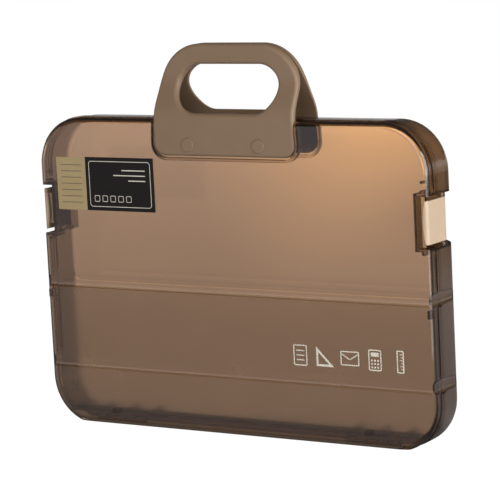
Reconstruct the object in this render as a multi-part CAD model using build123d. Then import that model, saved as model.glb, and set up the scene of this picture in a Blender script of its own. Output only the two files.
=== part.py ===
from build123d import *
import math
import os

# Portable file organizer: a hard, see-through document case that stands on its long edge.
# Millimetres, +X to the right of the front face, +Y to the back, +Z up, z = 0 on the table.
# Depths are measured back from the front face, so depth 0 is the front and case_depth is the back.

# Case body
case_width = 350.0
case_height = 243.0
case_depth = 38.0
wall = 2.0
corner_radius = 38.0
parting_depth = 11.4
parting_gap = 0.3
front_edge_radius = 4.0
rear_edge_radius = 6.0
draft_degrees = 1.5
stand_trim = 2.8

# Raised band on each side of the seam
band_proud = 0.6
band_front_width = 2.8
band_rear_width = 3.0

# Locating tongue inside the seam
tongue_thickness = 1.2
tongue_reach = 1.8
tongue_root = 1.3
tongue_clearance = 0.4
tongue_start_height = 40.0
tongue_stop_margin = 3.0

# Shallow flutes round the case
flute_heights = (48.0, 112.5)
flute_chord = 10.0
flute_side_depth = 1.5
flute_face_depth = 0.7

# Hinge channel along the bottom edge, open from below
hinge_height = 2.8
hinge_front_reach = 4.8
hinge_rear_reach = 7.0
channel_slope = 0.6
channel_headroom = 1.2
knuckle_radius = 2.5
knuckle_clearance = 0.3
knuckle_count = 5
hinge_inset = 60.0
hinge_length = 46.0
hinge_pin_radius = 1.2
pin_clearance = 0.08
hinge_rib_thickness = 1.4

# Carrying handle: two bent plates, one on each shell
plate_thickness = 3.8
grip_thickness = 6.0
plate_proud = 0.3
plate_foot_drop = 28.5
handle_rise = 56.0
plate_lower_width = 128.0
plate_upper_width = 122.6
plate_lower_corner = 10.0
plate_upper_corner = 36.0
plate_bend_drop = 2.0
plate_bend_radius = 30.0
plate_bend_degrees = 28.0
plate_meeting_gap = 2.0
plate_edge_radius = 2.6
plate_rim_layer = 0.1
plate_seat_gap = 0.3
finger_hole_width = 89.2
finger_hole_height = 36.5
finger_hole_rise = 22.2
finger_hole_rounding = 3.2

# Pocket in each shell face that takes the foot of a handle plate
recess_side_gap = 0.8
recess_bottom_gap = 1.6
recess_lip_width = 1.3
recess_lip_proud = 0.4
recess_lip_drop = 7.0
recess_front_reach = 10.0

# Rivets that hold the handle plates
rivet_spacing = 63.4
rivet_drop = 20.0
rivet_head_radius = 5.3
rivet_head_proud = 1.0
rivet_head_rounding = 0.7
rivet_shank_radius = 2.5
rivet_tail_radius = 3.6
rivet_tail_length = 1.2
rivet_clearance = 0.1
washer_radius = 5.0
washer_thickness = 1.0

# Side latches
latch_drop = 73.4
latch_height = 32.0
latch_inset = 2.0
latch_thickness = 2.4
latch_front = 0.6
latch_barrel_radius = 2.5
latch_barrel_depth = 27.6
latch_corner_radius = 3.0
latch_lip_thickness = 2.6
latch_lip_reach = 4.0
latch_lip_bow = 2.0
latch_floor_gap = 0.4
latch_end_gap = 1.5
latch_recess_slope = 2.8
latch_finger_gap = 5.6
latch_finger_depth = 6.2
latch_notch_end_gap = 3.3
latch_pin_radius = 1.0
latch_ear_gap = 0.3
latch_tooth_width = 24.0
latch_tooth_front = 5.6
latch_tooth_thickness = 2.4
latch_tooth_reach = 2.4
latch_catch_gap = 0.4
latch_catch_thickness = 2.0
latch_catch_proud = 2.1

# Studs behind the front face, beside each latch
latch_stud_inset = 4.0
latch_stud_length = 7.5
end_stud_radius = 1.7
upper_stud_radius = 1.1
upper_stud_rise = 29.7

# Stationery pocket panel inside the front shell
panel_top = 106.5
panel_thickness = 1.4
panel_tongue_gap = 0.15
panel_edge_gap = 0.4
panel_flute_notch = 13.0
ledge_drop = 4.5
ledge_size = 6.0
ledge_proud = 3.0
ledge_clearance = 0.3
panel_foot_height = 3.4

# Stickers on the front face
sticker_thickness = 0.25
sticker_side_inset = 17.6
sticker_top_inset = 31.0
dark_sticker_width = 64.4
dark_sticker_height = 42.0
pale_sticker_width = 27.9
pale_sticker_height = 41.6
sticker_joint = 0.1

# Values that follow from the sizes above
case_side = case_width / 2
body_half_width = case_side - band_proud
body_height = case_height - band_proud + stand_trim
body_middle = body_height / 2 - stand_trim
front_end = parting_depth - parting_gap / 2
rear_start = parting_depth + parting_gap / 2
channel_height = hinge_height + knuckle_radius + knuckle_clearance + channel_headroom
hinge_center = case_side - hinge_inset
hinge_rib_places = (hinge_center - hinge_length / 2, hinge_center, hinge_center + hinge_length / 2)
plate_bottom = case_height - plate_foot_drop
plate_bend_height = case_height - plate_bend_drop
plate_top = case_height + handle_rise
finger_hole_middle = case_height + finger_hole_rise
rivet_height = case_height - rivet_drop
recess_lip_top = case_height - recess_lip_drop
latch_middle = case_height - latch_drop
latch_outer = case_side - latch_inset
latch_room = max(2 * latch_barrel_radius, latch_thickness + latch_tooth_reach)
latch_recess_floor = latch_outer - latch_room - latch_floor_gap
latch_recess_floor_height = latch_height + 2 * latch_end_gap
latch_recess_mouth_height = latch_recess_floor_height + 2 * latch_recess_slope
latch_notch_side = latch_outer - latch_lip_reach - latch_finger_gap
latch_notch_depth = latch_front + latch_lip_thickness + latch_finger_depth
latch_notch_height = latch_height + 2 * latch_notch_end_gap
panel_depth = front_end - tongue_root - panel_tongue_gap - panel_thickness
pale_sticker_left = sticker_side_inset - case_side
dark_sticker_left = pale_sticker_left + pale_sticker_width + sticker_joint
sticker_bottom = case_height - sticker_top_inset - dark_sticker_height

# How far a cutting shape runs past what it cuts: well past it, and just clear of it
beyond = 30.0
cut_margin = 1.0


def depth_y(depth):
    """Y of a depth measured back from the front face."""
    return depth - case_depth / 2


def facing_plane(depth, height=0.0):
    """Plane parallel to the front face whose sketches read X right and Z up."""
    return Plane(origin=(0, depth_y(depth), height), x_dir=(1, 0, 0), z_dir=(0, -1, 0))


def slab(sketch, near, far, height=0.0):
    """Sketch of the front view, extruded from the far depth to the near one."""
    return extrude(facing_plane(far, height) * sketch, far - near)


def block(x_low, x_high, depth_low, depth_high, z_low, z_high):
    """Plain block between two corners, with its place along Y given as depths."""
    size = (x_high - x_low, depth_high - depth_low, z_high - z_low)
    middle = ((x_low + x_high) / 2, depth_y((depth_low + depth_high) / 2), (z_low + z_high) / 2)
    return Pos(*middle) * Box(*size)


def both_sides(shape):
    """The shape and its mirror image across the middle of the case."""
    return shape + mirror(shape, about=Plane.YZ)


def to_rear(shape):
    """The shape turned to the back of the case by mirroring front to back."""
    return mirror(shape, about=Plane.XZ)


def body_outline(inset):
    """Rounded outline of the case, drawn in by the inset; its foot is trimmed flat at z = 0."""
    width = 2 * (body_half_width - inset)
    return RectangleRounded(width, body_height - 2 * inset, corner_radius - inset)


def tray(start, end, inset, edge_radius):
    """Solid of a shell's space from the seam to its face, with draft and a rounded face edge."""
    y_sign = 1 if end > start else -1
    middle = (0, depth_y(start), body_middle)
    plane = Plane(origin=middle, x_dir=(1, 0, 0), z_dir=(0, y_sign, 0))
    solid = extrude(plane * body_outline(inset), abs(end - start), taper=draft_degrees)
    face = solid.faces().sort_by(Axis.Y)[-1 if y_sign > 0 else 0]
    solid = fillet(face.edges(), edge_radius)
    return solid & block(-case_width, case_width, -wall, case_depth + wall, inset, case_height)


def seam_band(near, far):
    """Raised band that runs round the case beside the seam."""
    outer = slab(body_outline(-band_proud), near, far, body_middle)
    return outer - slab(body_outline(wall), near - cut_margin, far + cut_margin, body_middle)


def flute_rods(growth):
    """Round bars that cut the flutes, or with growth stand behind them as their inner wall."""
    side_radius = flute_radius(flute_side_depth)
    face_radius = flute_radius(flute_face_depth)
    side_place = body_half_width - flute_side_depth + side_radius
    face_place = flute_face_depth - face_radius
    rods = []
    for height in flute_heights:
        side = Pos(side_place, 0, height) * Rot(90, 0, 0) * Cylinder(side_radius + growth, 2 * case_depth)
        rods.append(both_sides(side))
        face = Rot(0, 90, 0) * Cylinder(face_radius + growth, 2 * case_width)
        rods.append(Pos(0, depth_y(face_place), height) * face)
        rods.append(Pos(0, -depth_y(face_place), height) * face)
    return rods


def flute_radius(depth):
    """Radius of a flute from its chord and its depth."""
    return ((flute_chord / 2) ** 2 + depth ** 2) / (2 * depth)


def channel(growth):
    """Channel along the bottom edge that holds the hinges."""
    front = parting_depth - hinge_front_reach
    rear = parting_depth + hinge_rear_reach
    low = -stand_trim - wall
    top = channel_height + growth
    points = [
        (depth_y(front - channel_slope - growth), low),
        (depth_y(front - growth), top),
        (depth_y(rear + growth), top),
        (depth_y(rear + channel_slope + growth), low),
    ]
    section = Plane.YZ * make_face(Polyline(*points, close=True))
    return extrude(section, case_width, both=True)


def latch_recess(growth):
    """Side recess for the latch, with sloping ends, on the right of the case."""
    floor = latch_recess_floor - growth
    mouth = case_side + wall
    low = latch_recess_floor_height / 2 + growth
    high = low + latch_recess_slope
    points = [(floor, -low), (mouth, -high), (mouth, high), (floor, low)]
    return slab(make_face(Polyline(*points, close=True)), -wall, case_depth + wall, latch_middle)


def latch_notch(growth):
    """Finger notch in the corner of the front face, in front of the latch."""
    half = latch_notch_height / 2 + growth
    far = latch_notch_depth + growth
    return block(latch_notch_side - growth, case_width, -wall, far, latch_middle - half, latch_middle + half)


def handle_line(foot_offset, grip_offset, low, high):
    """Edges of the front plate's bent line, at offsets behind its front surface at foot and grip."""
    run = math.radians(plate_bend_degrees)
    first = plate_bend_radius - foot_offset
    second = plate_bend_radius + grip_offset
    start = (depth_y(foot_offset - plate_proud), low)
    bend = (start[0], plate_bend_height)
    lower = Line(start, bend)
    inward = JernArc(bend, (0, 1), first, -plate_bend_degrees)
    slope_end = inward @ 1 + Vector(math.sin(run), math.cos(run)) * handle_slope(foot_offset, grip_offset)
    slope = Line(inward @ 1, slope_end)
    upright = JernArc(slope_end, slope % 1, second, plate_bend_degrees)
    upper = Line(upright @ 1, (upright @ 1).add(Vector(0, high - (upright @ 1).Y)))
    return [lower, inward, slope, upright, upper]


def handle_slope(foot_offset, grip_offset):
    """Length of the leaning stretch that brings the plate's line to its place at the grip."""
    run = math.radians(plate_bend_degrees)
    foot_depth = foot_offset - plate_proud
    grip_depth = case_depth / 2 - plate_meeting_gap / 2 - grip_thickness + grip_offset
    radii = 2 * plate_bend_radius - foot_offset + grip_offset
    return (grip_depth - foot_depth - radii * (1 - math.cos(run))) / math.sin(run)


def handle_sheet(front_offset, rear_offset, low, high):
    """Bent sheet from an offset of the plate's front surface to an offset of its back surface."""
    front = handle_line(front_offset, front_offset, low, high)
    rear = handle_line(plate_thickness + rear_offset, grip_thickness + rear_offset, low, high)
    return bent_solid(front, rear)


def bent_solid(front, rear):
    """Solid between two bent lines, wider than the case recess."""
    ends = [Line(front[0] @ 0, rear[0] @ 0), Line(front[-1] @ 1, rear[-1] @ 1)]
    section = Plane.YZ * make_face(front + rear + ends)
    return extrude(section, plate_lower_width, both=True)


def plate_outline(side_gap, bottom_gap, high):
    """Front view of a handle plate, or of its recess when the gaps are not zero."""
    low = plate_bottom - bottom_gap
    lower = plate_lower_width / 2 + side_gap
    upper = plate_upper_width / 2 + side_gap
    return make_face(Polyline((-lower, low), (lower, low), (upper, high), (-upper, high), close=True))


def plate_shape():
    """Front view of a handle plate with its rounded corners and finger hole."""
    outline = plate_outline(0, 0, plate_top)
    corners = outline.vertices().sort_by(Axis.Y)
    outline = fillet(corners[:2], plate_lower_corner)
    corners = outline.vertices().sort_by(Axis.Y)
    outline = fillet(corners[-2:], plate_upper_corner)
    hole = SlotOverall(finger_hole_width, finger_hole_height)
    return outline - Pos(0, finger_hole_middle) * hole


def recess_shape(growth):
    """Front view of the pocket round the foot of a handle plate, open at the top."""
    gap = recess_side_gap + growth
    outline = plate_outline(gap, recess_bottom_gap + growth, case_height + beyond)
    corners = outline.vertices().sort_by(Axis.Y)
    return fillet(corners[:2], plate_lower_corner + gap)


def handle_recess(growth):
    """Pocket for the front handle plate, with its floor behind the plate."""
    floor = plate_seat_gap + growth
    sheet = handle_sheet(-recess_front_reach, floor, plate_bottom - beyond, plate_top)
    return sheet & slab(recess_shape(growth), -beyond, parting_depth)


def recess_lip():
    """Fine raised lip round the pocket on the front face."""
    ring = recess_shape(recess_lip_width) - recess_shape(0)
    lip = slab(ring, -recess_lip_proud, wall / 2)
    low = plate_bottom - beyond
    return lip & block(-case_width, case_width, -wall, wall, low, recess_lip_top)


def rivet_rod(radius, near, far):
    """Two round rods at the rivets' places, between two depths."""
    rod = Pos(rivet_spacing / 2, depth_y((near + far) / 2), rivet_height)
    return both_sides(rod * Rot(90, 0, 0) * Cylinder(radius, far - near))


def knuckle_spans(front):
    """X spans of the hinge knuckles that belong to the front shell, or to the rear one."""
    pitch = hinge_length / knuckle_count
    low = hinge_center - hinge_length / 2
    first = 1 if front else 0
    trim = knuckle_clearance / 2
    return [(low + i * pitch + trim, low + (i + 1) * pitch - trim) for i in range(first, knuckle_count, 2)]


def hinge_rod(radius, x_low, x_high):
    """Round rod on the hinge line."""
    place = Pos((x_low + x_high) / 2, depth_y(parting_depth), hinge_height)
    return place * Rot(0, 90, 0) * Cylinder(radius, x_high - x_low)


def knuckles(front):
    """Hinge knuckles of one shell with the webs that carry them."""
    solids = []
    for x_low, x_high in knuckle_spans(front):
        near = parting_depth - knuckle_radius if front else rear_start
        far = front_end if front else parting_depth + knuckle_radius
        web = block(x_low, x_high, near, far, hinge_height, channel_height + wall / 2)
        solids.append(both_sides(hinge_rod(knuckle_radius, x_low, x_high) + web))
    return solids


def hinge_bore():
    """Bore for the two hinge pins."""
    low = hinge_center - hinge_length / 2 - cut_margin
    high = hinge_center + hinge_length / 2 + cut_margin
    return both_sides(hinge_rod(hinge_pin_radius + pin_clearance, low, high))


def shell_space(start, end, inset, edge_radius, growth, rear):
    """Space of a shell without its recesses: its outside, or with an inset its cavity."""
    space = tray(start, end, inset, edge_radius)
    recess = handle_recess(growth)
    cutters = flute_rods(growth) + [channel(growth), to_rear(recess) if rear else recess]
    cutters.append(both_sides(latch_recess(growth)))
    if not rear:
        cutters.append(both_sides(latch_notch(growth)))
    for cutter in cutters:
        space = space - cutter
    return space


def tongue():
    """Locating tongue of the front shell, cut away where the rear shell's inner walls come in."""
    near = front_end - tongue_root
    far = front_end + tongue_reach
    gap = wall + tongue_clearance
    ring = slab(body_outline(gap), near, far, body_middle)
    ring = ring + slab(body_outline(wall / 2), near, front_end, body_middle)
    hollow = slab(
        body_outline(gap + tongue_thickness), near - cut_margin, far + cut_margin, body_middle,
    )
    ring = ring - hollow
    half = latch_recess_mouth_height / 2 + wall + tongue_stop_margin
    windows = [(-beyond, tongue_start_height), (latch_middle - half, latch_middle + half)]
    for height in flute_heights:
        margin = flute_chord / 2 + tongue_stop_margin
        windows.append((height - margin, height + margin))
    for low, high in windows:
        ring = ring - block(-case_width, case_width, 0, case_depth, low, high)
    return ring


def latch_catch():
    """Ridge on the front shell's side recess that the latch's tooth holds."""
    near = latch_tooth_front + latch_tooth_thickness + latch_catch_gap
    half = latch_tooth_width / 2
    far = near + latch_catch_thickness
    low = latch_recess_floor - wall / 2
    high = latch_recess_floor + latch_catch_proud
    return both_sides(block(low, high, near, far, latch_middle - half, latch_middle + half))


def latch_studs():
    """Short round studs behind the front face, at the ends of each latch recess and above it."""
    end_rise = latch_recess_mouth_height / 2 + wall
    place = body_half_width - wall - latch_stud_inset
    studs = []
    sizes = [(end_rise, end_stud_radius), (-end_rise, end_stud_radius), (upper_stud_rise, upper_stud_radius)]
    for rise, radius in sizes:
        middle = Pos(place, depth_y((wall + latch_stud_length) / 2), latch_middle + rise)
        studs.append(both_sides(middle * Rot(90, 0, 0) * Cylinder(radius, latch_stud_length)))
    return studs


def panel_stops():
    """Small stops in front of the pocket panel: ledges near its top and feet at its lower edge."""
    inner = body_half_width - wall
    far = panel_depth - ledge_clearance
    low = panel_top - ledge_drop - ledge_size / 2
    ledge = block(inner - ledge_proud, inner + wall / 2, wall / 2, far, low, low + ledge_size)
    foot_low = channel_height + wall / 2
    foot_side = hinge_center - ledge_size / 2
    foot = block(foot_side, foot_side + ledge_size, wall / 2, far, foot_low, foot_low + panel_foot_height)
    return [both_sides(ledge), both_sides(foot)]


def front_shell():
    """Shallow shell that opens, with the notches for the latches and the pocket for its handle plate."""
    outside = shell_space(front_end, 0, 0, front_edge_radius, 0, False)
    cavity = shell_space(front_end + cut_margin, wall, wall, front_edge_radius - wall, wall, False)
    shell = outside - cavity
    band = seam_band(front_end - band_front_width, front_end)
    for cutter in flute_rods(0) + [channel(0), both_sides(latch_recess(0))]:
        band = band - cutter
    shell = shell + band + tongue() + latch_catch() + recess_lip()
    for piece in panel_stops() + latch_studs() + knuckles(True):
        shell = shell + piece
    shell = shell - hinge_bore()
    return shell - rivet_rod(rivet_shank_radius + rivet_clearance, -cut_margin, parting_depth)


def latch_rod(radius, half_height):
    """Round rod on the right latch's turning line."""
    middle = latch_outer - latch_barrel_radius
    return Pos(middle, depth_y(latch_barrel_depth), latch_middle) * Cylinder(radius, 2 * half_height)


def latch_ears():
    """Ears at both ends of the right latch's barrel, on the rear shell."""
    low = latch_height / 2 + latch_ear_gap
    high = latch_recess_mouth_height / 2
    near = latch_barrel_depth - latch_barrel_radius
    web = block(
        latch_recess_floor - wall / 2, latch_outer - latch_barrel_radius,
        near, near + 2 * latch_barrel_radius, latch_middle - high, latch_middle + high,
    )
    ears = latch_rod(latch_barrel_radius, high) + web
    gap = block(latch_recess_floor, case_width, 0, case_depth, latch_middle - low, latch_middle + low)
    return ears - gap


def latch_pin_half():
    """Half of a latch pin's length, ending inside the recess's end walls."""
    return latch_recess_mouth_height / 2 - latch_ear_gap


def hinge_ribs():
    """Short ribs between the hinge channel and the back of the rear shell."""
    ribs = []
    near = parting_depth + hinge_rear_reach
    for place in hinge_rib_places:
        half = hinge_rib_thickness / 2
        top = channel_height + wall
        rib = block(place - half, place + half, near, case_depth - wall / 2, wall / 2, top)
        ribs.append(both_sides(rib))
    return ribs


def rear_shell():
    """Deep shell that carries the latches and the rear handle plate."""
    outside = shell_space(rear_start, case_depth, 0, rear_edge_radius, 0, True)
    cavity = shell_space(
        rear_start - cut_margin, case_depth - wall, wall, rear_edge_radius - wall, wall, True,
    )
    shell = outside - cavity
    band = seam_band(rear_start, rear_start + band_rear_width)
    for cutter in flute_rods(0) + [channel(0), both_sides(latch_recess(0))]:
        band = band - cutter
    shell = shell + band + both_sides(latch_ears()) + to_rear(recess_lip())
    for rib in hinge_ribs():
        shell = shell + (rib & outside)
    for knuckle in knuckles(False):
        shell = shell + knuckle
    bores = both_sides(latch_rod(latch_pin_radius + pin_clearance, latch_pin_half() + pin_clearance))
    shell = shell - hinge_bore() - bores
    return shell - to_rear(rivet_rod(rivet_shank_radius + rivet_clearance, -cut_margin, parting_depth))


def plate_rim(plate, round_hole):
    """Front edges of a handle plate's walls, round its finger hole or round its outline."""
    low = plate_bottom - cut_margin
    high = plate_top + cut_margin
    front = handle_line(-plate_rim_layer, -plate_rim_layer, low, high)
    behind = handle_line(plate_rim_layer, plate_rim_layer, low, high)
    layer = bent_solid(front, behind)
    wall_tilt = 0.1
    edges = []
    for face in plate.faces():
        place = face.center()
        across = abs(place.X) < finger_hole_width / 2 + cut_margin
        along = abs(place.Z - finger_hole_middle) < finger_hole_height / 2 + cut_margin
        upright = abs(face.normal_at().Y) < wall_tilt
        if upright and (across and along) == round_hole:
            edges += [edge for edge in face.edges() if layer.is_inside(edge.center())]
    return edges


def handle_plate():
    """Front plate of the handle, with the finger hole and the rivet holes."""
    sheet = handle_sheet(0, 0, plate_bottom - cut_margin, plate_top + cut_margin)
    plate = sheet & slab(plate_shape(), -beyond, case_depth)
    plate = fillet(plate_rim(plate, False), plate_edge_radius)
    plate = fillet(plate_rim(plate, True), finger_hole_rounding)
    return plate - rivet_rod(rivet_shank_radius + rivet_clearance, -cut_margin, parting_depth)


def rivet(side):
    """One rivet of the front plate: a low rounded head, a shank and a spread tail."""
    face = -plate_proud
    inner = plate_seat_floor() + wall + washer_thickness
    upwards = (Align.CENTER, Align.CENTER, Align.MIN)
    head = Cylinder(rivet_head_radius, rivet_head_proud, align=upwards)
    head = fillet(head.edges().sort_by(Axis.Z)[-1], rivet_head_rounding)
    length = inner - face + rivet_tail_length
    shank = Pos(0, 0, -length) * Cylinder(rivet_shank_radius, length, align=upwards)
    tail = Pos(0, 0, -length) * Cylinder(rivet_tail_radius, rivet_tail_length, align=upwards)
    place = Pos(side * rivet_spacing / 2, depth_y(face), rivet_height) * Rot(90, 0, 0)
    return place * (head + shank + tail)


def plate_seat_floor():
    """Depth of the floor that a handle plate's foot lies on."""
    return plate_thickness + plate_seat_gap - plate_proud


def washer(side):
    """Washer under one rivet's tail, on the inside of the front shell."""
    near = plate_seat_floor() + wall
    ring = Cylinder(washer_radius, washer_thickness) - Cylinder(rivet_shank_radius + rivet_clearance, wall)
    place = Pos(side * rivet_spacing / 2, depth_y(near + washer_thickness / 2), rivet_height)
    return place * Rot(90, 0, 0) * ring


def latch():
    """Right latch: a plate on a barrel, with a bowed finger lip and a tooth inside."""
    inner = latch_outer - latch_thickness
    half = latch_height / 2
    plate = block(
        inner, latch_outer, latch_front, latch_barrel_depth,
        latch_middle - half, latch_middle + half,
    )
    lip_reach = latch_outer - latch_lip_reach
    lip = block(
        lip_reach, latch_outer, latch_front, latch_front + latch_lip_thickness,
        latch_middle - half, latch_middle + half,
    )
    body = plate + lip
    corner = body.edges().filter_by(Axis.Z).sort_by(lambda edge: edge.center().Y - edge.center().X)[0]
    body = fillet(corner, latch_corner_radius)
    barrel = latch_rod(latch_barrel_radius, half)
    bore = latch_rod(latch_pin_radius + pin_clearance, half + cut_margin)
    tooth_half = latch_tooth_width / 2
    tooth = block(
        inner - latch_tooth_reach, inner + latch_thickness / 2,
        latch_tooth_front, latch_tooth_front + latch_tooth_thickness,
        latch_middle - tooth_half, latch_middle + tooth_half,
    )
    bow_end = lip_reach + latch_lip_bow
    bow = ThreePointArc((bow_end, half), (lip_reach, 0), (bow_end, -half))
    rim = Polyline(bow @ 1, (lip_reach - cut_margin, -half), (lip_reach - cut_margin, half), bow @ 0)
    trim = slab(make_face([bow, rim]), -wall, latch_tooth_front - cut_margin, latch_middle)
    return body + barrel + tooth - trim - bore


def pocket_panel():
    """Half-height panel inside the front shell that makes the stationery pocket."""
    gap = wall + panel_edge_gap
    outline = Pos(0, body_middle) * body_outline(gap)
    low = channel_height + wall + knuckle_clearance
    window = Pos(0, (low + panel_top) / 2) * Rectangle(case_width, panel_top - low)
    panel = slab(outline & window, panel_depth, panel_depth + panel_thickness)
    inner = body_half_width - flute_side_depth - wall - panel_edge_gap
    for height in flute_heights:
        half = panel_flute_notch / 2
        notch = block(inner, case_width, 0, case_depth, height - half, height + half)
        panel = panel - both_sides(notch)
    return panel


def sticker(left, width, height):
    """Thin sticker on the front face."""
    return block(left, left + width, -sticker_thickness, 0, sticker_bottom, sticker_bottom + height)


def build_parts():
    """Every piece of the organizer by its name."""
    front_plate = handle_plate()
    right_latch = latch()
    pin_low = hinge_center - hinge_length / 2
    parts = {
        "rear_shell": rear_shell(),
        "front_shell": front_shell(),
        "front_handle_plate": front_plate,
        "rear_handle_plate": to_rear(front_plate),
        "latch_right": right_latch,
        "latch_left": mirror(right_latch, about=Plane.YZ),
        "stationery_pocket_panel": pocket_panel(),
        "sticker_dark": sticker(dark_sticker_left, dark_sticker_width, dark_sticker_height),
        "sticker_pale": sticker(pale_sticker_left, pale_sticker_width, pale_sticker_height),
    }
    hinge_pin = hinge_rod(hinge_pin_radius, pin_low, pin_low + hinge_length)
    latch_pin = latch_rod(latch_pin_radius, latch_pin_half())
    for name, side in (("left", -1), ("right", 1)):
        parts["hinge_pin_" + name] = hinge_pin if side > 0 else mirror(hinge_pin, about=Plane.YZ)
        parts["latch_pin_" + name] = latch_pin if side > 0 else mirror(latch_pin, about=Plane.YZ)
        parts["front_handle_rivet_" + name] = rivet(side)
        parts["rear_handle_rivet_" + name] = to_rear(rivet(side))
        parts["front_rivet_washer_" + name] = washer(side)
        parts["rear_rivet_washer_" + name] = to_rear(washer(side))
    return parts


os.makedirs("parts", exist_ok=True)
for part_name, part_shape in build_parts().items():
    export_step(part_shape, "parts/" + part_name + ".step")
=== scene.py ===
import logging
import math
from abc import ABC, abstractmethod
from dataclasses import dataclass, field
from enum import Enum
from typing import Any

import bpy
from mathutils import Matrix, Vector


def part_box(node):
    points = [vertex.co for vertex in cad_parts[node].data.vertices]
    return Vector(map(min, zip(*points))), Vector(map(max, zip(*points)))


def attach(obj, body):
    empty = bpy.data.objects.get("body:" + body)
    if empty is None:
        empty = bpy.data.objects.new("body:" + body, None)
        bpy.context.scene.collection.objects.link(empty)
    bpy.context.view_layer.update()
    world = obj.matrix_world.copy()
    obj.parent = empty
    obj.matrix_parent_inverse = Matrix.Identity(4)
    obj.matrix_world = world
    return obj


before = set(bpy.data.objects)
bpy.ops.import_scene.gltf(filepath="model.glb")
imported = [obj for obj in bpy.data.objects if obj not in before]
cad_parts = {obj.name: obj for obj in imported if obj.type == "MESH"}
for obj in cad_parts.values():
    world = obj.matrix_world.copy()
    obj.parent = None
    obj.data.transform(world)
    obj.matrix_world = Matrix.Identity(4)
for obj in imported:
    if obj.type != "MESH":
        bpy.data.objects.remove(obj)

MM = 0.001
log = logging.getLogger("file_organizer")

Colour = tuple[float, float, float, float]
Point = tuple[float, float]
Point3 = tuple[float, float, float]
Span = tuple[float, float]

# The sRGB curve: a straight foot, then a power of the value with an offset
FOOT_END = 0.04045
FOOT_SLOPE = 12.92
CURVE_OFFSET = 0.055
CURVE_POWER = 2.4

# Noise: finer layers in the patches and in the grain, and the span in which most of its values lie
PATCH_DETAIL = 2.0
GRAIN_DETAIL = 3.0
NOISE_SPAN = (0.3, 0.7)


def linear(hex_colour: str) -> Colour:
    """Turn an sRGB hex colour into the linear colour that the shaders take.

    Args:
        hex_colour: Six hex digits, with or without a leading hash sign.

    Returns:
        Linear red, green and blue with an alpha of 1.
    """
    channels = []
    for level in bytes.fromhex(hex_colour.lstrip("#")):
        value = level / 255
        foot = value / FOOT_SLOPE
        curve = ((value + CURVE_OFFSET) / (1 + CURVE_OFFSET)) ** CURVE_POWER
        channels.append(foot if value <= FOOT_END else curve)
    return (channels[0], channels[1], channels[2], 1.0)


def add_node(
    tree: bpy.types.NodeTree,
    kind: str,
    settings: dict[str, Any] | None = None,
    inputs: dict[Any, Any] | None = None,
) -> bpy.types.Node:
    """Add one node with its settings, its plain input values and its links.

    Args:
        tree: The node tree that gets the node.
        kind: Blender's type name of the node.
        settings: Attributes of the node itself.
        inputs: Input name or number, with a plain value or the output socket to link.

    Returns:
        The new node.
    """
    node = tree.nodes.new(kind)
    for name, value in (settings or {}).items():
        setattr(node, name, value)
    for name, value in (inputs or {}).items():
        if isinstance(value, bpy.types.NodeSocket):
            tree.links.new(value, node.inputs[name])
        else:
            node.inputs[name].default_value = value
    return node


def blended(tree: bpy.types.NodeTree, share: Any, stops: dict[float, str]) -> bpy.types.NodeSocket:
    """Blend sRGB colours by a share.

    Args:
        tree: The node tree to work in.
        share: Output socket from 0 to 1.
        stops: Hex colour at each share, from 0 upwards.

    Returns:
        The blended colour's socket.
    """
    ramp = add_node(tree, "ShaderNodeValToRGB", inputs={"Fac": share})
    places = sorted(stops)
    elements = ramp.color_ramp.elements
    for place in places[1:-1]:
        elements.new(place)
    for element, place in zip(elements, places):
        element.position = place
        element.color = linear(stops[place])
    return ramp.outputs["Color"]


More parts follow.
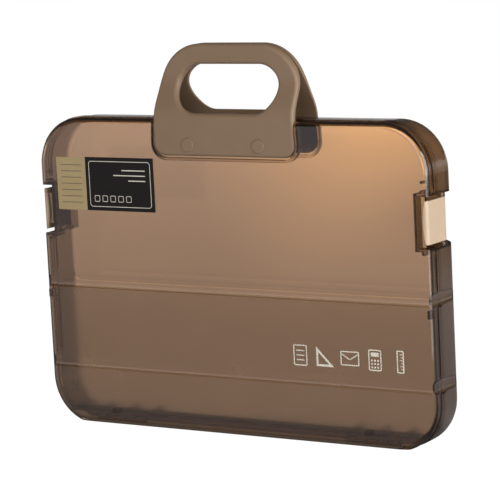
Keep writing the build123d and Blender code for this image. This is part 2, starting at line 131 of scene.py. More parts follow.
@dataclass(frozen=True)
class Finish(ABC):
    """What every finish of the organizer shares: a name, a gloss and a fine surface.

    Attributes:
        name: The material's name.
        roughness: Roughness in the middle of its range.
        roughness_spread: How far the roughness wanders to each side.
        patch_mm: Size of the patches in which colour and gloss wander.
        grain_mm: Size of the surface's grain.
        grain_depth_mm: Depth of the grain.
        ior: Index of refraction.
    """

    name: str
    roughness: float
    roughness_spread: float
    patch_mm: float
    grain_mm: float
    grain_depth_mm: float
    ior: float

    @abstractmethod
    def look(self, tree: bpy.types.NodeTree) -> dict[str, Any]:
        """Say how the finish sets the surface's shader.

        Args:
            tree: The material's node tree.

        Returns:
            Input names of the Principled node with their values or sockets.
        """

    def inside(self, tree: bpy.types.NodeTree) -> dict[str, Any]:
        """Say what the light meets under the surface, which is nothing for an opaque finish."""
        return {}

    def build(self) -> bpy.types.Material:
        """Make the material.

        Returns:
            The finished material.
        """
        material = bpy.data.materials.new(self.name)
        material.use_nodes = True
        tree = material.node_tree
        tree.nodes.clear()
        shader = add_node(tree, "ShaderNodeBsdfPrincipled", inputs=self.look(tree))
        output = {"Surface": shader.outputs[0]} | self.inside(tree)
        add_node(tree, "ShaderNodeOutputMaterial", inputs=output)
        return material

    def patched(self, tree: bpy.types.NodeTree, colour: str, colour_patch: str) -> dict[str, Any]:
        """Set the shader of a finish whose colour wanders with its patches.

        Args:
            tree: The material's node tree.
            colour: Hex colour between the patches.
            colour_patch: Hex colour in the patches.

        Returns:
            Input names of the Principled node with their values or sockets.
        """
        return {
            "Base Color": blended(tree, self.patches(tree), {0.0: colour, 1.0: colour_patch}),
            "Roughness": self.gloss(tree), "IOR": self.ior, "Normal": self.grain(tree),
        }

    def noise(self, tree: bpy.types.NodeTree, size_mm: float, detail: float) -> bpy.types.NodeSocket:
        """Make noise over the piece, in its own coordinates.

        Args:
            tree: The material's node tree.
            size_mm: Size of the noise's largest shapes.
            detail: Number of finer layers over them.

        Returns:
            The noise's output socket.
        """
        place = add_node(tree, "ShaderNodeTexCoord")
        noise = add_node(
            tree, "ShaderNodeTexNoise",
            inputs={"Vector": place.outputs["Object"], "Scale": 1 / (size_mm * MM), "Detail": detail},
        )
        return noise.outputs["Fac"]

    def patches(self, tree: bpy.types.NodeTree) -> bpy.types.NodeSocket:
        """Make the slow wander over the surface."""
        return self.noise(tree, self.patch_mm, PATCH_DETAIL)

    def gloss(self, tree: bpy.types.NodeTree) -> bpy.types.NodeSocket:
        """Make a roughness that wanders with the patches.

        Args:
            tree: The material's node tree.

        Returns:
            The roughness's output socket.
        """
        spread = add_node(
            tree, "ShaderNodeMapRange",
            inputs={
                "Value": self.patches(tree), "From Min": NOISE_SPAN[0], "From Max": NOISE_SPAN[1],
                "To Min": self.roughness - self.roughness_spread,
                "To Max": self.roughness + self.roughness_spread,
            },
        )
        return spread.outputs["Result"]

    def grain(self, tree: bpy.types.NodeTree) -> bpy.types.NodeSocket:
        """Make the normal of the surface's fine grain.

        Args:
            tree: The material's node tree.

        Returns:
            The normal's output socket.
        """
        height = self.noise(tree, self.grain_mm, GRAIN_DETAIL)
        bump = add_node(
            tree, "ShaderNodeBump",
            inputs={"Height": height, "Distance": self.grain_depth_mm * MM, "Strength": 1.0},
        )
        return bump.outputs["Normal"]


@dataclass(frozen=True)
class ClearPlastic(Finish):
    """Smoke-brown styrene resin, injection moulded in a polished mould.

    The eye gets a glassy, slightly wavy wall whose brown grows darker with the depth of plastic that
    the light crosses. The rim walls get a darker tint, a painted shade that makes rims and corners
    nearly black, and a fine moulded texture that blurs what is seen through them.

    Attributes:
        absorbed: Colour of the light that the plastic takes out, as the colour left after one unit.
        density: Strength of the absorption, per metre.
        face: Hex tint of the flat faces.
        rim_painted_shade: Hex tint of the rim walls, a darker painted shade.
        rim_roughness: Roughness that the rim walls' texture adds.
        rim_turn: How squarely a wall faces the front or back where it stops being a flat face,
            and where it is wholly rim.
    """

    absorbed: str = "#D5BC95"
    density: float = 200.0
    face: str = "#F9E3CD"
    rim_painted_shade: str = "#9F8D7C"
    rim_roughness: float = 0.12
    rim_turn: Span = (0.85, 0.3)

    def look(self, tree: bpy.types.NodeTree) -> dict[str, Any]:
        """Set the shader, with a darker tint as painted shade and more roughness for the rim walls.

        Args:
            tree: The material's node tree.

        Returns:
            Input names of the Principled node with their values or sockets.
        """
        rim_share = self.rim_share(tree)
        roughness = add_node(
            tree, "ShaderNodeMath", {"operation": "MULTIPLY_ADD"},
            {0: rim_share, 1: self.rim_roughness, 2: self.gloss(tree)},
        )
        return {
            # The rim walls' darker tint is painted shade
            "Base Color": blended(tree, rim_share, {0.0: self.face, 1.0: self.rim_painted_shade}),
            "Roughness": roughness.outputs[0], "IOR": self.ior,
            "Transmission Weight": 1.0, "Normal": self.grain(tree),
        }

    def rim_share(self, tree: bpy.types.NodeTree) -> bpy.types.NodeSocket:
        """Tell the rim walls from the flat faces.

        Args:
            tree: The material's node tree.

        Returns:
            Socket that is 0 on a flat face and 1 on a rim wall.
        """
        place = add_node(tree, "ShaderNodeTexCoord")
        facing = add_node(tree, "ShaderNodeSeparateXYZ", inputs={0: place.outputs["Normal"]})
        depthwise = add_node(tree, "ShaderNodeMath", {"operation": "ABSOLUTE"}, {0: facing.outputs["Y"]})
        share = add_node(
            tree, "ShaderNodeMapRange",
            inputs={
                "Value": depthwise.outputs[0], "From Min": self.rim_turn[0], "From Max": self.rim_turn[1],
            },
        )
        return share.outputs["Result"]

    def inside(self, tree: bpy.types.NodeTree) -> dict[str, Any]:
        """Take brown out of the light, the more the deeper the plastic is.

        Args:
            tree: The material's node tree.

        Returns:
            The output node's volume input with its socket.
        """
        volume = add_node(
            tree, "ShaderNodeVolumeAbsorption",
            inputs={"Color": linear(self.absorbed), "Density": self.density},
        )
        return {"Volume": volume.outputs[0]}


@dataclass(frozen=True)
class FrostedSheet(Finish):
    """Polypropylene sheet with a matt calendered surface.

    The eye gets a milky veil that blurs what lies behind it.

    Attributes:
        tint: Hex tint of the sheet.
        tint_patch: Hex tint in the cloudier patches.
    """

    tint: str = "#EDEAE6"
    tint_patch: str = "#E4E0DB"

    def look(self, tree: bpy.types.NodeTree) -> dict[str, Any]:
        """Let the light through, blurred."""
        return self.patched(tree, self.tint, self.tint_patch) | {"Transmission Weight": 1.0}


@dataclass(frozen=True)
class OpaquePlastic(Finish):
    """Opaque ABS, injection moulded, with a spark-eroded or satin texture.

    The eye gets an even body colour with soft highlights along the rounded edges.

    Attributes:
        colour: Hex colour of the body.
        colour_patch: Hex colour where the body colour wanders.
        shine: Strength of the surface's reflection, 0.5 for plain plastic.
    """

    colour: str = "#78614B"
    colour_patch: str = "#735D48"
    shine: float = 0.5

    def look(self, tree: bpy.types.NodeTree) -> dict[str, Any]:
        """Show the body colour under a weak reflection."""
        return self.patched(tree, self.colour, self.colour_patch) | {"Specular IOR Level": self.shine}


@dataclass(frozen=True)
class DrawnSteel(Finish):
    """Stainless steel, cold drawn for pins and stamped for washers.

    The eye gets a grey metal with a fine grain.

    Attributes:
        colour: Hex colour of the metal.
        colour_patch: Hex colour in the duller patches.
    """

    colour: str = "#B4B1AC"
    colour_patch: str = "#9D9A95"

    def look(self, tree: bpy.types.NodeTree) -> dict[str, Any]:
        """Reflect in the metal's colour."""
        return self.patched(tree, self.colour, self.colour_patch) | {"Metallic": 1.0}


class Surface(Enum):
    """The finishes that the organizer's pieces take."""

    # Brown glass with a faint moulding wave
    SHELL = ClearPlastic(
        "smoke_styrene_polished", roughness=0.06, roughness_spread=0.02, patch_mm=60.0,
        grain_mm=25.0, grain_depth_mm=0.004, ior=1.57,
    )
    # Milky veil in front of what the case holds
    PANEL = FrostedSheet(
        "frosted_polypropylene_sheet", roughness=0.30, roughness_spread=0.03, patch_mm=35.0,
        grain_mm=0.6, grain_depth_mm=0.01, ior=1.49,
    )
    # Solid brown with broad, weak highlights
    HANDLE = OpaquePlastic(
        "milk_tea_abs_satin", roughness=0.46, roughness_spread=0.04, patch_mm=18.0,
        grain_mm=0.45, grain_depth_mm=0.012, ior=1.5,
    )
    # The handle's brown plastic, a little smoother, in a lighter colour that is painted light from the right
    LATCH = OpaquePlastic(
        "latch_abs_satin_painted_light", roughness=0.42, roughness_spread=0.04, patch_mm=9.0,
        grain_mm=0.4, grain_depth_mm=0.01, ior=1.5, colour="#A38F79", colour_patch="#9E8A74",
    )
    # Small grey glints at the pins and washers
    STEEL = DrawnSteel(
        "drawn_stainless_steel", roughness=0.32, roughness_spread=0.06, patch_mm=4.0,
        grain_mm=0.3, grain_depth_mm=0.005, ior=1.5,
    )
    # Nearly black film with a weak sheen
    LABEL_DARK = OpaquePlastic(
        "coated_label_film_dark", roughness=0.38, roughness_spread=0.03, patch_mm=12.0,
        grain_mm=0.5, grain_depth_mm=0.003, ior=1.5, colour="#171110", colour_patch="#130E0D", shine=0.2,
    )
    # Straw-coloured film beside it
    LABEL_PALE = OpaquePlastic(
        "coated_label_film_pale", roughness=0.45, roughness_spread=0.03, patch_mm=8.0,
        grain_mm=0.5, grain_depth_mm=0.003, ior=1.5, colour="#9D8A65", colour_patch="#907D5A", shine=0.25,
    )
    # Chalky, slightly uneven lines on dark ground
    PALE_INK = OpaquePlastic(
        "pale_screen_ink", roughness=0.5, roughness_spread=0.03, patch_mm=3.0,
        grain_mm=0.3, grain_depth_mm=0.002, ior=1.5, colour="#C9C4B6", colour_patch="#B2AD9F",
    )
    # Brown-grey lines on pale ground
    DARK_INK = OpaquePlastic(
        "dark_screen_ink", roughness=0.5, roughness_spread=0.03, patch_mm=3.0,
        grain_mm=0.3, grain_depth_mm=0.002, ior=1.5, colour="#4A4236", colour_patch="#5A5143",
    )

    def material(self) -> bpy.types.Material:
        """The finish's material, made the first time it is asked for."""
        made = bpy.data.materials.get(self.value.name)
        return made or self.value.build()


def dress(piece: bpy.types.Object, surface: Surface) -> None:
    """Give a piece one finish all over.

    Args:
        piece: The mesh object.
        surface: The finish that it takes.
    """
    if piece.data.materials:
        for slot in piece.material_slots:
            slot.material = surface.material()
    else:
        piece.data.materials.append(surface.material())
    log.info("%s is finished in %s", piece.name, surface.value.name)


def dress_nodes(names: list[str], surface: Surface) -> None:
    """Give several of the case's fixed pieces one finish.

    Args:
        names: Node names.
        surface: The finish that they take.
    """
    for name in names:
        dress(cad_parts[name], surface)


def clear_selection() -> None:
    """Leave nothing selected, so that the next operator acts on its own piece only."""
    if bpy.context.object and bpy.context.object.mode != "OBJECT":
        bpy.ops.object.mode_set(mode="OBJECT")
    bpy.ops.object.select_all(action="DESELECT")


@dataclass
class PrintedSheet:
    """Flat print on a face that looks to the front, built of bars and outlines.

    Attributes:
        name: Name of the finished piece.
        face_y: Y of the face that carries the print, in metres.
        thickness_mm: Thickness of the ink.
        corner_steps: Straight steps in a rounded corner.
        parts: The flat pieces drawn so far.
    """

    name: str
    face_y: float
    thickness_mm: float
    corner_steps: int = 5
    parts: list[bpy.types.Object] = field(default_factory=list)

    def bar(self, middle: Point, size: Point, turn_deg: float = 0.0) -> bpy.types.Object:
        """Add a filled bar.

        Args:
            middle: X and Z of the middle, in millimetres.
            size: Length and height, in millimetres.
            turn_deg: Turn in the plane of the face.

        Returns:
            The bar's flat piece.
        """
        clear_selection()
        place = (middle[0] * MM, self.face_y, middle[1] * MM)
        bpy.ops.mesh.primitive_plane_add(size=1.0, location=place, rotation=(math.pi / 2, 0, 0))
        piece = bpy.context.object
        piece.scale = (size[0] * MM, size[1] * MM, 1.0)
        piece.rotation_euler.rotate_axis("Z", math.radians(turn_deg))
        bpy.ops.object.transform_apply(location=True, rotation=True, scale=True)
        self.parts.append(piece)
        return piece

    def outline(
        self, middle: Point, size: Point, line_mm: float, corner_mm: float = 0.0, cut_corner: bool = False
    ) -> bpy.types.Object:
        """Add an outline with an open middle.

        Args:
            middle: X and Z of the middle, in millimetres.
            size: Length and height over the line, in millimetres.
            line_mm: Width of the line.
            corner_mm: Radius of the corners, or 0 for sharp ones.
            cut_corner: True for a triangle, cut from the lower left half.

        Returns:
            The outline's flat piece.
        """
        piece = self.bar(middle, size)
        bpy.ops.object.mode_set(mode="EDIT")
        bpy.ops.mesh.select_all(action="SELECT")
        if cut_corner:
            centre = (middle[0] * MM, self.face_y, middle[1] * MM)
            normal = (size[1], 0.0, size[0])
            bpy.ops.mesh.bisect(plane_co=centre, plane_no=normal, clear_outer=True)
            bpy.ops.mesh.select_all(action="SELECT")
        if corner_mm > 0:
            bpy.ops.mesh.bevel(offset=corner_mm * MM, segments=self.corner_steps, affect="VERTICES")
            bpy.ops.mesh.select_all(action="SELECT")
        bpy.ops.mesh.inset(thickness=line_mm * MM)
        bpy.ops.mesh.delete(type="FACE")
        bpy.ops.object.mode_set(mode="OBJECT")
        return piece

    def finish(self, body: str, surface: Surface) -> bpy.types.Object:
        """Join the parts, give them the ink's thickness and hang them on a body.

        Args:
            body: The body that the print rides on.
            surface: The ink.

        Returns:
            The finished piece.
        """
        clear_selection()
        for part in self.parts:
            part.select_set(True)
        bpy.context.view_layer.objects.active = self.parts[0]
        bpy.ops.object.join()
        piece = bpy.context.object
        piece.name = piece.data.name = self.name
        skin = piece.modifiers.new("ink_thickness", "SOLIDIFY")
        skin.thickness = self.thickness_mm * MM
        skin.offset = 1.0
        bpy.ops.object.modifier_apply(modifier=skin.name)
        dress(piece, surface)
        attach(piece, body)
        return piece


@dataclass
class ClearCase:
    """The two see-through shells and the pocket panel between them.

    Attributes:
        shells: Node names of the shells.
        panel: Node name of the pocket panel.
    """

    shells: list[str] = field(default_factory=lambda: ["rear_shell", "front_shell"])
    panel: str = "stationery_pocket_panel"

    def build(self) -> None:
        """Dress the shells and the panel."""
        dress_nodes(self.shells, Surface.SHELL)
        dress_nodes([self.panel], Surface.PANEL)


@dataclass
class CarryHandle:
    """The two handle plates with their rivets and washers.

    Attributes:
        sides: Sides of the case that have a plate.
        ends: Ends of a plate that have a rivet and a washer.
    """

    sides: tuple[str, str] = ("front", "rear")
    ends: tuple[str, str] = ("left", "right")

    def build(self) -> None:
        """Dress the plates, the rivets and the washers."""
        for side in self.sides:
            dress_nodes([f"{side}_handle_plate"], Surface.HANDLE)
            dress_nodes([f"{side}_handle_rivet_{end}" for end in self.ends], Surface.HANDLE)
            dress_nodes([f"{side}_rivet_washer_{end}" for end in self.ends], Surface.STEEL)


@dataclass
class Latches:
    """The two side latches, their pins and the hinge pins.

    Attributes:
        ends: Ends of the case that have a latch and a hinge.
    """

    ends: tuple[str, str] = ("left", "right")

    def build(self) -> None:
        """Dress the latches and the pins."""
        for end in self.ends:
            dress_nodes([f"latch_{end}"], Surface.LATCH)
            dress_nodes([f"latch_pin_{end}", f"hinge_pin_{end}"], Surface.STEEL)


@dataclass
class FrontLabel:
    """The two-part label at the top left of the front face, with a plain generic print.

    All sizes are in millimetres.

    Attributes:
        frame_inset: Distance of the dark part's frame from its edge.
        frame_line: Width of that frame's line.
        frame_corner: Radius of its corners.
        bar_lengths: Lengths of the heading bars, from the top.
        bar_height: Height of one heading bar.
        bar_inset: Distance of the bars from the right edge and of the first one from the top edge.
        bar_pitch: Distance from bar to bar.
        square_count: Number of small squares in the row at the bottom.
        square_size: Width and height of one square.
        square_line: Width of its line.
        square_corner: Radius of its corners.
        square_inset: Distance of the first one's middle from the left and the bottom edge.
        square_pitch: Distance from square to square.
        rule_count: Writing lines on the pale part.
        rule_height: Height of one writing line.
        rule_inset: Distance of the lines from the side and the top edge.
        ink: Thickness of the print.
    """

    frame_inset: float = 3.0
    frame_line: float = 0.5
    frame_corner: float = 2.5
    bar_lengths: tuple[float, ...] = (22.0, 30.0, 16.0)
    bar_height: float = 0.8
    bar_inset: Point = (8.0, 10.0)
    bar_pitch: float = 4.0
    square_count: int = 5
    square_size: Point = (5.0, 5.0)
    square_line: float = 0.45
    square_corner: float = 0.8
    square_inset: Point = (10.0, 9.5)
    square_pitch: float = 7.5
    rule_count: int = 7
    rule_height: float = 0.5
    rule_inset: Point = (4.0, 6.0)
    ink: float = 0.02

    def build(self) -> None:
        """Dress both parts and print them."""
        dress_nodes(["sticker_dark"], Surface.LABEL_DARK)
        dress_nodes(["sticker_pale"], Surface.LABEL_PALE)
        self.print_dark()
        self.print_pale()

    def box_mm(self, node: str) -> tuple[Vector, Vector]:
        """Lowest and highest corner of a label part, in millimetres."""
        low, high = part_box(node)
        return low / MM, high / MM

    def print_dark(self) -> None:
        """Print a thin frame, heading bars and a row of squares."""
        low, high = self.box_mm("sticker_dark")
        sheet = PrintedSheet("label_dark_print", low.y * MM, self.ink)
        middle = ((low.x + high.x) / 2, (low.z + high.z) / 2)
        size = (high.x - low.x - 2 * self.frame_inset, high.z - low.z - 2 * self.frame_inset)
        sheet.outline(middle, size, self.frame_line, corner_mm=self.frame_corner)
        right, top = high.x - self.bar_inset[0], high.z - self.bar_inset[1]
        for step, length in enumerate(self.bar_lengths):
            sheet.bar((right - length / 2, top - self.bar_pitch * step), (length, self.bar_height))
        left, bottom = low.x + self.square_inset[0], low.z + self.square_inset[1]
        for step in range(self.square_count):
            sheet.outline(
                (left + self.square_pitch * step, bottom), self.square_size, self.square_line,
                corner_mm=self.square_corner,
            )
        sheet.finish("lid", Surface.PALE_INK)

    def print_pale(self) -> None:
        """Print plain writing lines."""
        low, high = self.box_mm("sticker_pale")
        sheet = PrintedSheet("label_pale_print", low.y * MM, self.ink)
        middle, length = (low.x + high.x) / 2, high.x - low.x - 2 * self.rule_inset[0]
        pitch = (high.z - low.z - 2 * self.rule_inset[1]) / (self.rule_count - 1)
        for step in range(self.rule_count):
            sheet.bar((middle, high.z - self.rule_inset[1] - step * pitch), (length, self.rule_height))
        sheet.finish("lid", Surface.DARK_INK)


@dataclass
class FacePrint:
    """A row of small generic stationery signs, screen printed low on the front face.

    All sizes are in millimetres.

    Attributes:
        first_x: X of the first sign's middle.
        pitch: Distance between the signs.
        middle_z: Height of the signs' middle.
        line: Width of the printed line.
        bar_height: Height of the bars inside the signs.
        ink: Thickness of the print.
        page_size: Size of the page.
        page_corner: Radius of its corners.
        writing_length: Length of a line of writing.
        writing_pitch: Distance between the lines of writing.
        set_square_size: Lengths of the set square's two short sides.
        set_square_line: Width of its line.
        envelope_size: Size of the envelope.
        envelope_corner: Radius of its corners.
        flap_length: Length of each side of its flap.
        flap_place: Distance of that side's middle from the envelope's middle, aside and upwards.
        flap_turn_deg: Slope of that side.
        calculator_size: Size of the calculator.
        calculator_corner: Radius of its corners.
        window_size: Size of its window.
        window_rise: Height of the window above the middle.
        key_rows: Rows of keys, and keys in a row.
        key_size: Size of a key.
        key_pitch: Distance between the keys, across and downwards.
        key_drop: Distance of the first row below the middle.
        ruler_size: Size of the ruler.
        ruler_corner: Radius of its corners.
        mark_count: Number of its marks.
        mark_lengths: Lengths of its short and long marks, in turn.
        mark_height: Height of a mark.
        mark_edge: Distance of the marks' right end from the middle.
        mark_drop: Distance of the lowest mark below the middle.
        mark_pitch: Distance from mark to mark.
    """

    first_x: float = 60.0
    pitch: float = 21.5
    middle_z: float = 66.0
    line: float = 0.9
    bar_height: float = 0.8
    ink: float = 0.03
    page_size: Point = (12.0, 16.0)
    page_corner: float = 1.2
    writing_length: float = 7.0
    writing_pitch: float = 3.6
    set_square_size: Point = (15.0, 15.0)
    set_square_line: float = 1.7
    envelope_size: Point = (16.0, 11.0)
    envelope_corner: float = 1.0
    flap_length: float = 7.6
    flap_place: Point = (3.5, 1.2)
    flap_turn_deg: float = 32.0
    calculator_size: Point = (11.0, 16.0)
    calculator_corner: float = 1.4
    window_size: Point = (6.6, 3.0)
    window_rise: float = 4.3
    key_rows: int = 3
    key_size: Point = (1.4, 1.4)
    key_pitch: Point = (2.5, 2.6)
    key_drop: float = 0.2
    ruler_size: Point = (6.0, 17.0)
    ruler_corner: float = 0.8
    mark_count: int = 6
    mark_lengths: Span = (1.6, 2.6)
    mark_height: float = 0.6
    mark_edge: float = 2.1
    mark_drop: float = 5.5
    mark_pitch: float = 2.2

    def build(self) -> None:
        """Print every sign."""
        makers = (self.page, self.set_square, self.envelope, self.calculator, self.ruler)
        for step, maker in enumerate(makers):
            name = f"printed_{maker.__name__}"
            sheet = PrintedSheet(name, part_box("front_shell")[0].y + self.lip(), self.ink)
            maker(sheet, self.first_x + step * self.pitch)
            sheet.finish("lid", Surface.PALE_INK)

    def lip(self) -> float:
        """How far the front shell's raised lip stands before its face, in metres."""
        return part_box("sticker_dark")[1].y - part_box("front_shell")[0].y

    def page(self, sheet: PrintedSheet, x: float) -> None:
        """Draw a page with three lines of writing.

        Args:
            sheet: The print that the sign goes on.
            x: X of the sign's middle.
        """
        sheet.outline((x, self.middle_z), self.page_size, self.line, corner_mm=self.page_corner)
        for step in (1, 0, -1):
            sheet.bar((x, self.middle_z + self.writing_pitch * step), (self.writing_length, self.bar_height))

    def set_square(self, sheet: PrintedSheet, x: float) -> None:
        """Draw a set square with an open middle."""
        sheet.outline((x, self.middle_z), self.set_square_size, self.set_square_line, cut_corner=True)

    def envelope(self, sheet: PrintedSheet, x: float) -> None:
        """Draw an envelope with its flap.

        Args:
            sheet: The print that the sign goes on.
            x: X of the sign's middle.
        """
        sheet.outline((x, self.middle_z), self.envelope_size, self.line, corner_mm=self.envelope_corner)
        aside, up = self.flap_place
        for side in (-1, 1):
            place = (x + side * aside, self.middle_z + up)
            sheet.bar(place, (self.flap_length, self.bar_height), turn_deg=side * self.flap_turn_deg)

    def calculator(self, sheet: PrintedSheet, x: float) -> None:
        """Draw a calculator with its window and keys.

        Args:
            sheet: The print that the sign goes on.
            x: X of the sign's middle.
        """
        sheet.outline((x, self.middle_z), self.calculator_size, self.line, corner_mm=self.calculator_corner)
        sheet.bar((x, self.middle_z + self.window_rise), self.window_size)
        across, down = self.key_pitch
        for row in range(self.key_rows):
            for column in range(self.key_rows):
                aside = across * (column - (self.key_rows - 1) / 2)
                sheet.bar((x + aside, self.middle_z - self.key_drop - down * row), self.key_size)

    def ruler(self, sheet: PrintedSheet, x: float) -> None:
        """Draw a ruler with its marks.

        Args:
            sheet: The print that the sign goes on.
            x: X of the sign's middle.
        """
        sheet.outline((x, self.middle_z), self.ruler_size, self.line, corner_mm=self.ruler_corner)
        for step in range(self.mark_count):
            length = self.mark_lengths[step % 2]
            height = self.middle_z - self.mark_drop + self.mark_pitch * step
            sheet.bar((x + self.mark_edge - length / 2, height), (length, self.mark_height))


class Passage(Enum):
    """Shapes of the passage from one level to another, with Blender's names for them."""

    SOFT = "SMOOTHSTEP"
    STRAIGHT = "LINEAR"


@dataclass(frozen=True)
class StudioNodes:
    """The groups of nodes that the studio's floor and surroundings are built of.

    Attributes:
        tree: The node tree that they go into.
    """

    tree: bpy.types.NodeTree

    def blend(
        self, value: Any, span: Span, low: float = 0.0, high: float = 1.0, passage: Passage = Passage.SOFT
    ) -> bpy.types.NodeSocket:
        """Pass from one level to another over a span of a value.

        Args:
            value: Socket of the value.
            span: Values between which the level changes.
            low: Level at the span's start.
            high: Level at its end.
            passage: Shape of the passage between them.

        Returns:
            Socket of the level.
        """
        node = add_node(
            self.tree, "ShaderNodeMapRange", {"interpolation_type": passage.value},
            {"Value": value, "From Min": span[0], "From Max": span[1], "To Min": low, "To Max": high},
        )
        return node.outputs["Result"]

    def times_plus(self, first: Any, second: Any, third: Any = 0.0) -> bpy.types.NodeSocket:
        """Work out the product of two values, plus a third.

        Args:
            first: Socket or value.
            second: Socket or value.
            third: Socket or value.

        Returns:
            Socket of the sum.
        """
        node = add_node(
            self.tree, "ShaderNodeMath", {"operation": "MULTIPLY_ADD"}, {0: first, 1: second, 2: third}
        )
        return node.outputs[0]

    def alignment(self, heading: bpy.types.NodeSocket, degrees: float) -> bpy.types.NodeSocket:
        """Work out the cosine of the angle between a level heading and a given direction.

        Args:
            heading: Socket of the heading, of length 1.
            degrees: The direction, turned from the back towards the right.

        Returns:
            Socket of the cosine.
        """
        turn = math.radians(degrees)
        node = add_node(
            self.tree, "ShaderNodeVectorMath", {"operation": "DOT_PRODUCT"},
            {0: heading, 1: (math.sin(turn), math.cos(turn), 0.0)},
        )
        return node.outputs["Value"]

    def mirrored_or_through(self, rays: bpy.types.Node) -> bpy.types.NodeSocket:
        """Tell the rays that gloss mirrors or glass lets through from all others.

        Args:
            rays: The light path node.

        Returns:
            Socket that is 1 for such rays and 0 for the others.
        """
        either = add_node(
            self.tree, "ShaderNodeMath", {"operation": "MAXIMUM"},
            {0: rays.outputs["Is Glossy Ray"], 1: rays.outputs["Is Transmission Ray"]},
        )
        return either.outputs[0]

    def mix(
        self, share: bpy.types.NodeSocket, first: bpy.types.Node, second: bpy.types.Node
    ) -> bpy.types.Node:
        """Mix two shaders.

        Args:
            share: Socket of the second shader's share.
            first: The first shader's node.
            second: The second shader's node.

        Returns:
            The mixing node.
        """
        return add_node(
            self.tree, "ShaderNodeMixShader",
            inputs={"Fac": share, 1: first.outputs[0], 2: second.outputs[0]},
        )


@dataclass(frozen=True)
class SoftLamp:
    """A square area lamp that shows neither to the camera nor through glass.

    Attributes:
        name: The lamp's name.
        place: Where it stands, in metres.
        aim: The point that it looks at.
        size: Its width, in metres.
        watts: Its power.
    """

    name: str
    place: Point3
    aim: Point3
    size: float
    watts: float

    def build(self) -> None:
        """Add the lamp."""
        data = bpy.data.lights.new(self.name, "AREA")
        data.size = self.size
        data.energy = self.watts
        lamp = bpy.data.objects.new(self.name, data)
        lamp.location = self.place
        lamp.rotation_mode = "QUATERNION"
        lamp.rotation_quaternion = (Vector(self.aim) - Vector(self.place)).to_track_quat("-Z", "Y")
        lamp.visible_camera = False
        lamp.visible_transmission = False
        bpy.context.scene.collection.objects.link(lamp)
        log.info("%s gives %.1f W", self.name, self.watts)


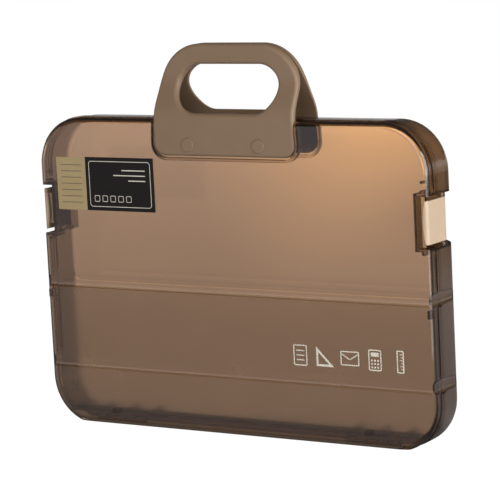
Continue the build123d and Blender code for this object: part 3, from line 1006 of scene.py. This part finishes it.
@dataclass
class PaperFloor:
    """White floor with a soft shadow, which glass and gloss show with painted light and shade of its own.

    Attributes:
        half_width: Half the floor's width, in metres.
        drop: Depth of the floor under the case's foot, in metres.
        own_light: Brightness in the camera's eye before any lamp.
        paper: Hex tone in the light of the lamps.
        shadow_tone: Hex tone of what the lamps add in the camera's eye, and the case's shadow takes away.
        near_level: Brightness near the case, as glass and gloss show it, darkened as a painted shadow of the
            case.
        far_gain: Painted light that it gains far out, on its darker side and on its brighter side.
        far_reach: Distances between which it gains that, in metres.
        bright_side_deg: Direction of the brighter side, which gets more painted light, turned from the back
            towards the right.
        side_blend: Cosines between which the darker side passes into the brighter one.
        cool: Hex tint near the case and on the darker side.
        warm: Hex tint far out on the brighter side.
        warm_share: Share of the way out at which that tint is reached.
        painted_glow: Hex tint of the painted warm light at the far end of the brighter side.
        glow_gain: Brightness that this painted light adds.
        glow_reach: Distances between which it comes in, in metres.
        contact_level: Share of the brightness that is left under the case, a painted contact shadow.
        contact_reach: Distances from the case's middle plane between which it comes back, in metres.
        dark_side: Share of the brightness that gloss shows far out on the right, a painted darkness that
            gloss reflects.
        dark_side_deg: Direction of that side, turned from the back towards the right.
        dark_side_blend: Cosines between which the floor passes into that painted darkness.
        dark_side_reach: Distances between which that painted darkness comes in, in metres.
    """

    half_width: float = 12.0
    drop: float = 0.0002
    own_light: float = 0.94
    paper: str = "#F2F2F2"
    shadow_tone: str = "#6A6A6A"
    near_level: float = 0.44
    far_gain: Span = (0.29, 0.74)
    far_reach: Span = (0.4, 2.3)
    bright_side_deg: float = 55.0
    side_blend: Span = (-0.02, 0.15)
    cool: str = "#ECF0FA"
    warm: str = "#FFF7E5"
    warm_share: float = 0.75
    painted_glow: str = "#FFF2D2"
    glow_gain: float = 0.4
    glow_reach: Span = (1.9, 2.5)
    contact_level: float = 0.3
    contact_reach: Span = (0.02, 0.045)
    dark_side: float = 0.10
    dark_side_deg: float = 40.0
    dark_side_blend: Span = (0.35, 0.65)
    dark_side_reach: Span = (0.6, 1.3)

    def build(self) -> None:
        """Make the floor and its paper."""
        clear_selection()
        bpy.ops.mesh.primitive_plane_add(size=2 * self.half_width, location=(0, 0, -self.drop))
        plane = bpy.context.object
        plane.name = "studio_floor"
        material = bpy.data.materials.new("studio_floor_paper")
        material.use_nodes = True
        tree = material.node_tree
        tree.nodes.clear()
        nodes = StudioNodes(tree)
        rays = add_node(tree, "ShaderNodeLightPath")
        paper = add_node(tree, "ShaderNodeBsdfDiffuse", inputs={"Color": linear(self.paper)})
        faint = add_node(tree, "ShaderNodeBsdfDiffuse", inputs={"Color": linear(self.shadow_tone)})
        bright = add_node(tree, "ShaderNodeEmission", inputs={"Strength": self.own_light})
        shown = add_node(tree, "ShaderNodeAddShader", inputs={0: bright.outputs[0], 1: faint.outputs[0]})
        seen = nodes.mix(rays.outputs["Is Camera Ray"], paper, shown)
        in_glass = self.in_glass(tree, rays.outputs["Is Glossy Ray"])
        whole = nodes.mix(nodes.mirrored_or_through(rays), seen, in_glass)
        add_node(tree, "ShaderNodeOutputMaterial", inputs={"Surface": whole.outputs[0]})
        plane.data.materials.append(material)

    def in_glass(self, tree: bpy.types.NodeTree, in_gloss: bpy.types.NodeSocket) -> bpy.types.Node:
        """Make the painted light and shade that glass and gloss show on the floor, by distance and direction
        from the case.

        Args:
            tree: The floor's node tree.
            in_gloss: Socket that is 1 for what gloss mirrors and 0 for what glass lets through.

        Returns:
            The emission node.
        """
        nodes = StudioNodes(tree)
        place = add_node(tree, "ShaderNodeTexCoord").outputs["Object"]
        away = add_node(tree, "ShaderNodeVectorMath", {"operation": "LENGTH"}, {0: place}).outputs["Value"]
        course = add_node(tree, "ShaderNodeVectorMath", {"operation": "NORMALIZE"}, {0: place})
        heading = course.outputs["Vector"]
        across = add_node(tree, "ShaderNodeSeparateXYZ", inputs={0: place})
        depth = add_node(tree, "ShaderNodeMath", {"operation": "ABSOLUTE"}, {0: across.outputs["Y"]})

        # Painted light and shade: dimmer near the case, brighter far out and on the brighter side
        bright_side = nodes.blend(nodes.alignment(heading, self.bright_side_deg), self.side_blend)
        gain = nodes.times_plus(bright_side, self.far_gain[1] - self.far_gain[0], self.far_gain[0])
        reach = nodes.blend(away, self.far_reach, passage=Passage.STRAIGHT)
        level = nodes.times_plus(gain, reach, self.near_level)

        # The painted darkness on the right shows in gloss only, the painted contact shadow under the case in
        # glass too
        dark_side = nodes.blend(nodes.alignment(heading, self.dark_side_deg), self.dark_side_blend)
        painted_dark_far_out = nodes.times_plus(dark_side, nodes.blend(away, self.dark_side_reach))
        painted_dark_in_gloss = nodes.times_plus(painted_dark_far_out, in_gloss)
        level = nodes.times_plus(level, nodes.blend(painted_dark_in_gloss, (0.0, 1.0), 1.0, self.dark_side))
        # Painted contact shadow under the case
        painted_contact_shadow = nodes.blend(depth.outputs[0], self.contact_reach, self.contact_level)
        level = nodes.times_plus(level, painted_contact_shadow)

        # Painted pool of warm light far out on the brighter side
        painted_glow = nodes.blend(away, self.glow_reach, high=self.glow_gain)
        level = nodes.times_plus(bright_side, painted_glow, level)
        warmth = nodes.times_plus(bright_side, nodes.blend(away, self.far_reach))
        tint = blended(tree, warmth, {0.0: self.cool, self.warm_share: self.warm, 1.0: self.painted_glow})
        return add_node(tree, "ShaderNodeEmission", inputs={"Color": tint, "Strength": level})


@dataclass
class Surroundings:
    """White surroundings for the camera, glass and gloss, and plain light for the rest.

    Attributes:
        ceiling: Brightness of the ceiling, as glass and gloss show it.
        ceiling_blend: Heights of a ray's direction between which the walls pass into the ceiling.
        room_light: Level of the light from all around.
    """

    ceiling: float = 0.06
    ceiling_blend: Span = (0.072, 0.100)
    room_light: float = 0.45

    def build(self) -> None:
        """Make the world."""
        world = bpy.data.worlds.new("studio_surroundings")
        bpy.context.scene.world = world
        world.use_nodes = True
        tree = world.node_tree
        tree.nodes.clear()
        nodes = StudioNodes(tree)
        rays = add_node(tree, "ShaderNodeLightPath")
        place = add_node(tree, "ShaderNodeTexCoord")
        height = add_node(tree, "ShaderNodeSeparateXYZ", inputs={0: place.outputs["Generated"]})
        walls = nodes.blend(height.outputs["Z"], self.ceiling_blend, 1.0, self.ceiling)
        white = linear("#FFFFFF")
        seen = add_node(tree, "ShaderNodeBackground", inputs={"Color": white, "Strength": 1.0})
        in_glass = add_node(tree, "ShaderNodeBackground", inputs={"Color": white, "Strength": walls})
        room = add_node(tree, "ShaderNodeBackground", inputs={"Color": white, "Strength": self.room_light})
        other = nodes.mix(nodes.mirrored_or_through(rays), room, in_glass)
        whole = nodes.mix(rays.outputs["Is Camera Ray"], other, seen)
        add_node(tree, "ShaderNodeOutputWorld", inputs={"Surface": whole.outputs[0]})


@dataclass
class PhotoCamera:
    """The camera at the photograph's viewing angle.

    Attributes:
        azimuth_deg: Direction of the camera, turned from the front towards the right.
        elevation_deg: Height of the camera's direction.
        roll_deg: Turn of the camera about its own axis.
        distance_mm: Distance of the camera from its target.
        target_mm: The point that it looks at.
        lens_mm: Focal length.
        sensor_mm: Width of the sensor.
        clip: Nearest and farthest distance that it sees, in metres.
    """

    azimuth_deg: float = 32.894
    elevation_deg: float = 8.697
    roll_deg: float = -2.889
    distance_mm: float = 1957.0
    target_mm: Point3 = (19.735, -19.0, 144.246)
    lens_mm: float = 186.729
    sensor_mm: float = 36.0
    clip: Span = (0.05, 60.0)

    def build(self) -> None:
        """Set the camera up and look through it."""
        turn, rise, roll = (math.radians(a) for a in (self.azimuth_deg, self.elevation_deg, self.roll_deg))
        back = Vector((
            math.sin(turn) * math.cos(rise), -math.cos(turn) * math.cos(rise), math.sin(rise)
        ))
        right = Vector((math.cos(turn), math.sin(turn), 0))
        up = back.cross(right)
        across = right * math.cos(roll) + up * math.sin(roll)
        above = up * math.cos(roll) - right * math.sin(roll)
        data = bpy.data.cameras.new("photo_camera")
        data.lens = self.lens_mm
        data.sensor_width = self.sensor_mm
        data.clip_start, data.clip_end = self.clip
        camera = bpy.data.objects.new("photo_camera", data)
        place = Vector(self.target_mm) * MM + back * self.distance_mm * MM
        turned = Matrix((across, above, back)).transposed().to_4x4()
        camera.matrix_world = Matrix.Translation(place) @ turned
        bpy.context.scene.collection.objects.link(camera)
        bpy.context.scene.camera = camera


@dataclass
class Studio:
    """Pale floor, white surroundings, soft lamps and the camera at the photograph's angle.

    Attributes:
        floor: The paper that the case stands on.
        surroundings: The walls and the ceiling.
        lamps: A large key lamp on the right, a weak fill in front and a small lamp beside the right edge.
        camera: The camera.
    """

    floor: PaperFloor = field(default_factory=PaperFloor)
    surroundings: Surroundings = field(default_factory=Surroundings)
    lamps: tuple[SoftLamp, ...] = (
        SoftLamp("key_right", (1.8, -0.35, 0.35), (0.0, 0.0, 0.15), 1.8, 60.0),
        SoftLamp("fill_front", (0.2, -2.0, 1.0), (0.0, 0.0, 0.15), 1.4, 14.0),
        SoftLamp("edge_light", (0.46, -0.22, 0.10), (0.17, -0.02, 0.10), 0.22, 0.4),
    )
    camera: PhotoCamera = field(default_factory=PhotoCamera)

    def build(self) -> None:
        """Make the floor, the surroundings, the lamps and the camera."""
        for part in (self.floor, self.surroundings, *self.lamps, self.camera):
            part.build()
        bpy.context.scene.view_settings.view_transform = "Standard"


def main() -> None:
    """Build the organizer, one sub-assembly after the other, and the studio round it."""
    logging.basicConfig(level=logging.INFO, format="%(name)s: %(message)s")
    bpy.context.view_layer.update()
    for part in (ClearCase(), CarryHandle(), Latches(), FrontLabel(), FacePrint()):
        part.build()
        log.info("%s is built", type(part).__name__)
    Studio().build()


if __name__ == "__main__":
    main()
